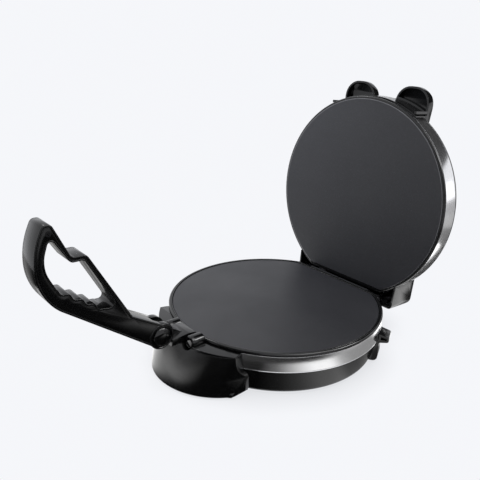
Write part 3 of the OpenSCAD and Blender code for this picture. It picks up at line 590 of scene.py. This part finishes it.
# The flanks' rear edges: (height, distance beside the front corner, distance behind y = -BODY_R)
flank = [(PAN_BOTTOM, FLARE - 3.5, 6.6), (PANEL_LEDGE - 0.84 * below, FLARE - 2.2, 7.2),
         (PANEL_LEDGE - 0.71 * below, FLARE - 1.6, 11.2),
         (PANEL_LEDGE - 0.53 * below, FLARE - 1, 14.3),
         (PANEL_LEDGE - 0.32 * below, FLARE - 0.5, 19),
         (PANEL_LEDGE - 0.15 * below, FLARE - 0.2, 23.4),
         (PANEL_LEDGE, FLARE, 27), (PANEL_LEDGE + 0.22 * above, FLARE, 18.8),
         (PANEL_LEDGE + 0.44 * above, FLARE, 13.7), (PANEL_LEDGE + 0.7 * above, FLARE - 0.5, 11),
         (PANEL_TOP, FLARE - 1.5, 10.6)]


def face_arc(k, half, inset):
    """The front line of the panel at a share k of its height, from left to right."""
    n = ARC_STEPS
    out = PANEL_OUT[0] + (PANEL_OUT[1] - PANEL_OUT[0]) * k - inset
    r = PANEL_R[0] + (PANEL_R[1] - PANEL_R[0]) * k - inset
    arc = math.asin(half / r)
    return [(r * math.sin(arc * i / n), r - BODY_R - out - r * math.cos(arc * i / n))
            for i in range(-n, n + 1)]


def panel_level(z, flare, behind):
    """The panel's outline at a height, from its left rear corner round the front."""
    k = (z - PAN_BOTTOM) / (PANEL_TOP - PAN_BOTTOM)
    side, y = PANEL_HALF + flare, behind - BODY_R
    if z > PANEL_LEDGE + 0.1:
        rear = [(side, y, 0.8), (side - 2.5, y + 9, 0), (side - 14, y + 30, 0)]
    else:
        rear = [(side, y, 0.8), (side, y + 9, 0), (side - 2, y + 46, 0)]
    front = [(x, v, 0) for x, v in face_arc(k, PANEL_HALF + 1 - k, 0)]
    for corner in (0, -1):
        front[corner] = front[corner][:2] + (1.4,)
    pts = rounded([(-x, v, r) for x, v, r in reversed(rear)] + front + rear, 5)
    return [(p.x, p.y, z) for p in pts]


def narrowed(level, inset, z):
    """An outline of the panel moved in, at a new height."""
    return [(p.x, p.y, z) for p in moved_in([Vector(q[:2]) for q in level], inset)]


# The levels between the flanks' corners, with a small bevel at the foot and a rounded top edge
columns = [curve(points) for points in zip(*[panel_level(*e) for e in flank])]
levels = list(zip(*columns))
foot = [narrowed(levels[0], inset, PAN_BOTTOM + rise) for inset, rise in ((0.6, 0), (0.18, 0.18))]
brow = [narrowed(levels[-1], inset, PANEL_TOP - drop)
        for inset, drop in ((0.0, 1.0), (0.14, 0.5), (0.5, 0.14), (1.0, 0))]
levels = foot + [v for v in levels if PAN_BOTTOM + 0.6 < v[0][2] < PANEL_TOP - 1.2] + brow
# Cuts: the inside, the lever bracket's notch, the pan's wall and the pegs' seats
in_half = PANEL_HALF - WALL
back_corners = [(-in_half, HOLLOW_BACK), (in_half, HOLLOW_BACK)]
hollow = hull([(x, y, z) for k, z in ((0, PAN_BOTTOM - 1), (1, PANEL_TOP - WALL))
               for x, y in face_arc(k, in_half, WALL) + back_corners])
angles = [math.radians(2 * i) for i in range(180)]
circle = [(math.cos(a), math.sin(a)) for a in angles]
pan_cut = hull([(r * x, r * y, z) for x, y in circle
                for r, z in ((142.5, -80), (148.0, PAN_BOTTOM), (156.0, BAND_BOTTOM))])
notch = block(-NOTCH_HALF, NOTCH_HALF, -BODY_R - PANEL_OUT[1] + WALL + 0.5, -150,
              PANEL_TOP - WALL - 1, 1)
peg_cuts = []
for x in (-PEG_X, PEG_X):
    hole_me = lathe(rod(9.0, 0, 60), HOLE_STEPS)
    hole_me.transform(Matrix.Translation(Vector((x, 10 - BODY_R, PEG_Z)) * MM)
                      @ Matrix.Rotation(math.pi / 2, 4, "X"))
    peg_cuts.append(hole_me)
me = cut_by(through(levels), hollow, notch, pan_cut, *peg_cuts)
add("panel_front", me, HOUSING, "base", "housing_plastic", "front_panel")

# ---------------------------------------------------------------- lever

# Outlines as (y, z, corner radius) from the lever's axis, drawn in side view as it is swung out
AXIS = Vector((LEVER_Y, LEVER_Z))
outer = [(-127.5, 172.5, 6), (-137, 172.5, 6), (-149.2, 147, 90), (-149.5, 103, 68), (-130, 77, 60),
         (-6, -15.5, 2), (4, 14.5, 2), (-39.5, 40.5, 3), (-91.5, 131.5, 8), (-108.5, 132.2, 7)]
# The finger hollows: a wave below a slanting line
FINGERS, FINGER_PITCH, FINGER_DEPTH, WAVE_STEPS = 4, 17, 3.3, 12
along = Vector((0.816, -0.578))
down = Vector((along.y, -along.x))
wave = [Vector((-127.9, 100.9)) + along * FINGER_PITCH * i / WAVE_STEPS
        + down * FINGER_DEPTH * (1 - math.cos(math.radians(360 / WAVE_STEPS * i))) / 2
        for i in range(FINGERS * WAVE_STEPS + 1)]
hole = ([(-110, 125.8, 7), (-130.5, 159, 4), (-141, 128, 40)] + [(p.x, p.y, 0) for p in wave]
        + [(-59, 60.5, 5), (-95, 125.8, 6)])
out_pts, hole_pts = ([p + AXIS for p in rounded(loop, 8)] for loop in (outer, hole))
seam, cheek = TINY, LEVER_HALF - 1.1  # where each half starts, and the face between its rims
# Profiles as (r, x) round the lever's axis: the drum, the room for the bracket's tongue, the cap
disc = [(4.1, 6.9), (17.0, 6.9), (17.3, 7.2), (17.4, 7.8), (17.4, 14.6), (17.1, 15.3),
        (16.4, 15.75), (15.2, 15.8), (14.6, 15.3), (14.4, 14.4), (4.1, 14.4)]
tongue_room = [(0, -1), (23.4, -1), (23.4, 6.8), (0, 6.8)]
cap = [(0, 3.75), (3.5, 3.6), (6.5, 3.1), (9.0, 2.3), (10.8, 1.4), (11.9, 0.6), (12.4, -0.2),
       (12.4, -1.6), (12.9, -1.9), (13.2, -1.6), (13.5, -0.4), (13.9, 0.2), (14.3, 0.1),
       (14.5, -0.5), (14.5, -1.7), (0, -1.7)]
# The right half, and the left one as its mirror image
for side, sign in (("left", -1), ("right", 1)):
    core = slab(out_pts, [hole_pts], seam, cheek, 0.5, 2)
    edge = slab(out_pts, [moved_in(out_pts, 2.6)], cheek - 0.8, LEVER_HALF, 0.8, 3)
    lip = slab(moved_in(hole_pts, -2.0), [hole_pts], cheek - 0.8, LEVER_HALF - 0.1, 0.7, 3)
    face = slab(moved_in(out_pts, 3.5), [moved_in(hole_pts, -2.7)], cheek - 0.3, LEVER_HALF - 0.55,
                0.3, 2)
    drum = turned(disc, (0, LEVER_Y, LEVER_Z), DRUM_STEPS)
    core = cut_by(core, turned(tongue_room, (0, LEVER_Y, LEVER_Z)))
    shell_me = joined(core, edge, lip, face, drum)
    cap_me = turned(cap, (0, 0, 0), DRUM_STEPS)
    if sign < 0:
        for me in (shell_me, cap_me):
            me.transform(Matrix.Scale(-1, 4, Vector((1, 0, 0))))
            me.flip_normals()
    add("lever_body_" + side, shell_me, LEVER, "lever", "lever_plastic", "lever_shell_" + side)
    cap_me.transform(Matrix.Translation(Vector((sign * (LEVER_HALF + 0.1), LEVER_Y, LEVER_Z)) * MM))
    add("cap_" + side, cap_me, TRIM, "lever", "trim_plastic", "lever_cap_" + side)
paint(HINGE_STEEL, "lever_pin", "lever_strap")

# ---------------------------------------------------------------- lid

# Lid rim: a roll outside and a bar along its straight back
lid_rim = [(152.95, 5.9), (152.95, 2.5), (153.1, 2.1), (153.6, 1.95), (154.6, 1.95), (155.3, 2.1),
           (155.9, 2.5), (156.3, 3.1), (156.48, 3.9), (156.45, 4.8), (156.2, 5.5), (155.7, 5.9)]
LID_BAR_HALF = 72.5
me = joined(lathe(lid_rim, BODY_STEPS, LID_BACK - TINY),
            block(-LID_BAR_HALF, LID_BAR_HALF, 133.3, 138.2, 1.95, 5.9))
me.transform(OPEN)
add("rim_lid", me, HOUSING, "lid", "housing_plastic", "lid_rim")

# Lid band: a plain sheet with eased edges, open at the back
lid_band = [(154.35, LID_BAND_LOW + 0.15), (155.5, LID_BAND_LOW + 0.15),
            (155.85, LID_BAND_LOW + 0.5), (155.88, LID_BAND_LOW + 1.2),
            (155.88, LID_BAND_HIGH - 1.2), (155.8, LID_BAND_HIGH - 0.5),
            (155.5, LID_BAND_HIGH - 0.15), (154.35, LID_BAND_HIGH - 0.15)]
me = cut_by(lathe(lid_band, BODY_STEPS), block(-100.4, 100.4, 0, FAR, 0, 80))
me.transform(OPEN)
add("band_lid", me, BAND, "lid", "polished_band", "lid_band")

paint(COATING, "upper_plate")
paint(HEATER, "upper_heater")
paint(SHIELD, "upper_heat_shield")
paint(CERAMIC, "upper_thermostat")
paint(RED, "power_lamp")
paint(GREEN, "ready_lamp")

# The bare metal edge round the upper plate
ring = [(151.75, 1.45), (152.5, 1.38), (152.9, 1.5), (152.9, 2.4), (151.75, 2.4)]
me = lathe(ring, BODY_STEPS, LID_BACK - 5.4)
me.transform(OPEN)
add("plate_edge_upper", me, EDGE, "lid", "nonstick_plate")

# Lid cover: a skirt behind the band, a flat dome and the apron under the ears
dome = [(155.45, 31.1), (155.45, 33.0), (154.6, 35.0), (151.2, 37.6), (146.0, 40.2), (139, 42.8),
        (128, 45.6), (112, 48.4), (90, 50.9), (62, 53.0), (30, 54.2), (0.02, 54.5)]
under = [(0.02, 51.7), (60, 50.3), (110, 45.6), (136, 40), (148, 36), (151.4, 33.5), (151.4, 10.2)]
cover = lathe([(154.2, 10.2), (154.2, 31.1)] + curve(dome) + under, BODY_STEPS)
me = cut_by(cover, block(-100.1, 100.1, 107.9, FAR, 0, 80))
for x in (-LAMP_X, LAMP_X):
    hole_me = lathe(rod(4.7, 40, 60), HOLE_STEPS)
    hole_me.transform(Matrix.Translation(Vector((x, LAMP_Y, 0)) * MM))
    me = cut_by(me, hole_me)
APRON_HALF, RIB_HALF = 79, 1.9
apron = lathe([(156.25, 10.85), (157.4, 10.85), (157.85, 11.3), (157.85, 35.2), (157.5, 35.8),
               (156.9, 35.95), (153.0, 35.95), (153.0, 31.1), (156.25, 31.1)], BODY_STEPS)
apron = cut_by(apron, block(-FAR, FAR, 0, FAR, 0, 80), block(-FAR, -APRON_HALF, -FAR, 10, 0, 80),
               block(APRON_HALF, FAR, -FAR, 10, 0, 80))
ribs = [block(x - RIB_HALF, x + RIB_HALF, -143.2, -139.5, 10.9, 39.5) for x in (-77, 77)]
me = joined(me, apron, *ribs)
me.transform(OPEN)
add("cover_lid", me, DOME, "lid", "housing_plastic", "lid_cover")

add("housing_hinge", eased("hinge_housing", 1.2, 40), HOUSING, "lid", "housing_plastic",
    "hinge_housing")
for side in ("left", "right"):
    add("ear_" + side, eased("lid_ear_" + side, 0.8, 40), DOME, "lid", "housing_plastic",
        "lid_ear_" + side)

# ---------------------------------------------------------------- studio

PALE = (0.915, 0.925, 0.955)
FLOOR_Z = -0.0657
AIM = (0, 0, 0.05)  # what the lamps point at

scene = bpy.context.scene
scene.view_settings.view_transform = "Standard"

# Camera: its own axes and place, fitted to the photograph
back = Vector((0.7122, -0.6105, 0.3465)).normalized()
right = Vector((0.6424, 0.7658, 0.0286))
right = (right - back * right.dot(back)).normalized()
up = back.cross(right)
cam_data = bpy.data.cameras.new("camera")
cam_data.lens = 42.525
cam_data.sensor_width = 36
cam_data.clip_end = 60
cam = placed_in_scene("camera", cam_data)
cam.matrix_world = (Matrix.Translation((0.5465, -0.5410, 0.3752))
                    @ Matrix((right, up, back)).transposed().to_4x4())
scene.camera = cam


def seen(t):
    """1 for the rays that see the pale background: camera, glossy and transmission rays."""
    path = t.node("ShaderNodeLightPath")
    sharp = t.node("ShaderNodeMath", operation="MAXIMUM")
    either = t.node("ShaderNodeMath", operation="MAXIMUM")
    t.link(path, "Is Camera Ray", sharp, 0)
    t.link(path, "Is Glossy Ray", sharp, 1)
    t.link(sharp, "Value", either, 0)
    t.link(path, "Is Transmission Ray", either, 1)
    return either


scene.world = bpy.data.worlds.new("studio")
sky = Tree(scene.world)
mixer = sky.node("ShaderNodeMixShader")
sky.link(seen(sky), "Value", mixer, "Fac")
soft = sky.node("ShaderNodeBackground", Color=(0.5, 0.505, 0.52, 1), Strength=0.45)
shown = sky.node("ShaderNodeBackground", Color=PALE + (1,), Strength=1.0)
sky.link(soft, "Background", mixer, 1)
sky.link(shown, "Background", mixer, 2)
sky.link(mixer, "Shader", sky.node("ShaderNodeOutputWorld"), "Surface")


def polar(r, az):
    """The x and y of a place at a distance from the Z axis, by azimuth in degrees."""
    return r * math.cos(math.radians(az)), r * math.sin(math.radians(az))


def around(az, el, dist):
    """A place at a distance from the lamps' aim, by azimuth and elevation in degrees."""
    flat, rise = polar(dist, el)
    return Vector((*polar(flat, az), rise)) + Vector(AIM)


def area(name, where, target, size, power, colour=(1, 1, 1)):
    data = bpy.data.lights.new(name, "AREA")
    data.shape = "RECTANGLE"
    data.size, data.size_y = size
    data.energy = power
    data.color = colour
    ob = placed_in_scene(name, data)
    ob.location = where
    ob.rotation_euler = (Vector(target) - Vector(where)).to_track_quat("-Z", "Y").to_euler()
    return ob


def softbox(name, az, el, dist, size, radiance):
    """A lamp that only shows in reflections, as bright as its radiance."""
    ob = area(name, around(az, el, dist), AIM, size, radiance * math.pi * size[0] * size[1])
    ob.visible_diffuse = False


# Two lamps for the highlights on the right and on the hinge barrel, a lamp on the lid's plate,
# and soft light from both sides
softbox("right_light", 38, 34, 1.7, (0.7, 0.45), 9)
softbox("barrel_light", 186, 53, 1.7, (0.35, 0.3), 8)
lid_light = area("lid_light", (-0.42, -0.08, 0.42), (0, 0.2, 0.35), (0.25, 0.25), 4.5,
                 (0.86, 0.93, 1.0))
fill_left = area("fill_left", around(-140, 45, 1.8), AIM, (1.0, 1.0), 12)
lid_light.visible_glossy = fill_left.visible_glossy = False
area("fill_right", around(10, 55, 1.8), AIM, (1.0, 1.0), 10)


def glowing(name):
    """A material that only glows, and its emission node."""
    m = Nodes(name)
    m.tree.nodes.remove(m.bsdf)
    glow = m.node("ShaderNodeEmission")
    m.link(glow, "Emission", m.out, "Surface")
    return m, glow


def hidden_stage(name, bm, mat):
    """A card that shows in reflections alone, as a studio's cards and flags do."""
    me = mesh_of(bm, name)
    me.materials.append(mat)
    ob = placed_in_scene(name, me)
    ob.visible_camera = ob.visible_diffuse = ob.visible_shadow = ob.visible_transmission = False


def flag(name, points, tone):
    """A flat card of one tone."""
    bm = bmesh.new()
    bm.faces.new([bm.verts.new(p) for p in points])
    m, glow = glowing(name)
    glow.inputs["Color"].default_value = (tone, tone, tone * 1.02, 1)
    hidden_stage(name, bm, m.mat)


def floor_card(name, r0, r1, tones, z):
    """A ring on the floor whose tone follows (azimuth, tone) pairs."""
    bm = bmesh.new()
    shade = bm.loops.layers.float_color.new("tone")
    first, last = tones[0][0], tones[-1][0]
    steps = int((last - first) / 2)
    rows = []
    for i in range(steps + 1):
        az = first + (last - first) * i / steps
        for (a0, t0), (a1, t1) in zip(tones, tones[1:]):
            if a0 <= az <= a1:
                tone = t0 + (t1 - t0) * (az - a0) / (a1 - a0)
        rows.append([bm.verts.new((*polar(r, az), z)) for r in (r0, r1)] + [tone])
    for (p, q, t), (u, v, w) in zip(rows, rows[1:]):
        f = bm.faces.new((p, q, v, u))
        for loop, value in zip(f.loops, (t, t, w, w)):
            loop[shade] = (value, value, value, 1)
    m, glow = glowing(name)
    m.link(m.node("ShaderNodeAttribute", attribute_name="tone"), "Color", glow, "Color")
    hidden_stage(name, bm, m.mat)


def wall(az0, az1, r, z0, z1):
    """The corners of an upright card between two azimuths."""
    a, b = polar(r, az0), polar(r, az1)
    return [(*a, z0), (*b, z0), (*b, z1), (*a, z1)]


LOW = FLOOR_Z + 0.0005  # just above the floor
floor_card("card_near", 0.15, 0.30, [
    (-215, 0.9), (-195, 1.5), (-150, 1.9), (-120, 2.0), (-106, 1.9), (-98, 0.6), (-92, 0.05),
    (-52, 0.01), (-40, 0.16), (-30, 0.5), (-20, 0.95), (-16, 1.08), (-3, 1.08), (5, 0.45),
    (14, 0.3), (42, 0.27), (52, 2.5), (63, 2.5), (66, 0.3), (110, 0.3)], LOW)
floor_card("card_middle", 0.30, 0.50, [
    (-215, 0.9), (-160, 0.6), (-130, 0.3), (-124, 0.8), (-114, 2.2), (-100, 2.8), (-92, 2.2),
    (-84, 1.0), (-76, 0.05), (-8, 0.01), (4, 0.3), (38, 0.6), (48, 0.6), (53, 2.6), (60, 2.6),
    (62, 1.2), (64, 0.05), (80, 0.05)], LOW)
floor_card("card_far", 0.50, 0.80, [
    (-215, 0.9), (-160, 0.6), (-130, 0.3), (-118, 0.01), (-8, 0.01), (4, 0.3), (38, 0.6),
    (48, 0.3), (80, 0.05)], LOW)
floor_card("card_back", 0.72, 1.1, [(40, 0.4), (50, 0.5), (62, 0.5), (70, 0.2)], LOW + 0.0005)
flag("flag_front", wall(-98, -55, 1.9, FLOOR_Z, 1.6), 0.01)
flag("flag_back", wall(25, 110, 1.5, FLOOR_Z, 0.2), 0.42)
flag("flag_top", wall(60, 120, 1.5, 1.3, 3.0), 0.04)
# Two small cards behind the lid, which its band mirrors
flag("flag_lid", [(0.403, 0.524, 0.319), (-0.029, 0.585, 0.319), (0.026, 0.448, 0.555),
                  (0.312, 0.408, 0.555)], 0.05)
flag("card_lid", [(0.532, 0.635, 0.12), (0.373, 0.731, 0.12), (0.373, 0.731, 0.253),
                  (0.532, 0.635, 0.253)], 1.5)

# The floor: its pale tone is seen, with a painted contact shadow that makes it a little darker
# where the part stands
bm = bmesh.new()
bmesh.ops.create_circle(bm, cap_ends=True, segments=96, radius=30)
floor = placed_in_scene("floor", mesh_of(bm, "floor"))
floor.location = (0, 0, FLOOR_Z)
pale = Nodes("floor_pale")
pale.set(Base_Color=(0.75, 0.757, 0.78, 1), Roughness=0.9, Specular_IOR_Level=0.1)
# Painted shadow: ambient occlusion darkens the floor's pale glow next to the part
ao_contact_shadow = pale.node("ShaderNodeAmbientOcclusion", samples=16, Distance=0.07)
shade = pale.ramp(ao_contact_shadow, "AO", [(0.25, tinted(PALE, 0.8)), (0.8, PALE)])
glow = pale.node("ShaderNodeEmission", Strength=1.0)
pale.link(shade, "Color", glow, "Color")
mixer = pale.node("ShaderNodeMixShader")
pale.link(seen(pale), "Value", mixer, "Fac")
pale.link(pale.bsdf, "BSDF", mixer, 1)
pale.link(glow, "Emission", mixer, 2)
pale.link(mixer, "Shader", pale.out, "Surface")
floor.data.materials.append(pale.mat)
